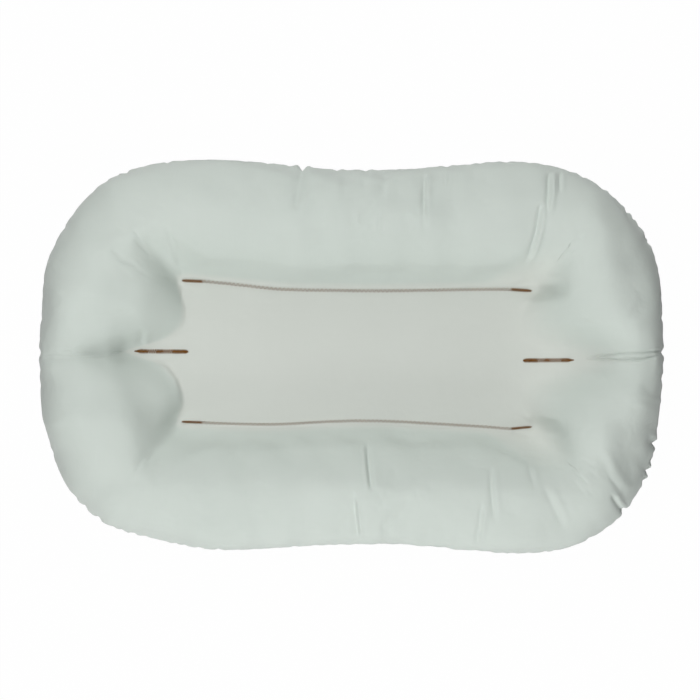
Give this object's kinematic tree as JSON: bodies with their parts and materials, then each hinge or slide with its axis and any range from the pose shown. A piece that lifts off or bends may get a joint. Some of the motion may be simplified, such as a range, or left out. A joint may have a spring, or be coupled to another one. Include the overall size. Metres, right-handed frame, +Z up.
{
  "type": "infant lounger",
  "caption": "Oval infant lounger: a stuffed cotton ring round a flat unpadded sling, sewn with long zigzag rows at the sides and short rows in the end folds.",
  "frame": {"origin": "on the floor, under the middle of the lounger's outline", "axes": "+X towards the foot end, +Y towards the lying child's left side, +Z up"},
  "size_m": [0.737, 0.467, 0.116],
  "materials": {
    "cloth": "matt washed cotton, pale grey green",
    "raw_edge": "matt overlocked cotton edge",
    "filling": "matt off-white fibre",
    "thread": "tan brown sewing thread with a low sheen"
  },
  "bodies": {
    "root": {"top_panel": "cloth", "bottom_panel": "cloth", "turned_in_edges": "raw_edge", "head_filling": "filling", "left_filling": "filling", "foot_filling": "filling", "right_filling": "filling", "left_row_needle_thread": "thread", "left_row_head_tack_needle": "thread", "left_row_foot_tack_needle": "thread", "right_row_needle_thread": "thread", "right_row_head_tack_needle": "thread", "right_row_foot_tack_needle": "thread", "head_row_needle_thread": "thread", "foot_row_needle_thread": "thread", "left_row_bobbin_thread": "thread", "left_row_head_tack_bobbin": "thread", "left_row_foot_tack_bobbin": "thread", "right_row_bobbin_thread": "thread", "right_row_head_tack_bobbin": "thread", "right_row_foot_tack_bobbin": "thread", "head_row_bobbin_thread": "thread", "foot_row_bobbin_thread": "thread"}
  },
  "joints": []
}
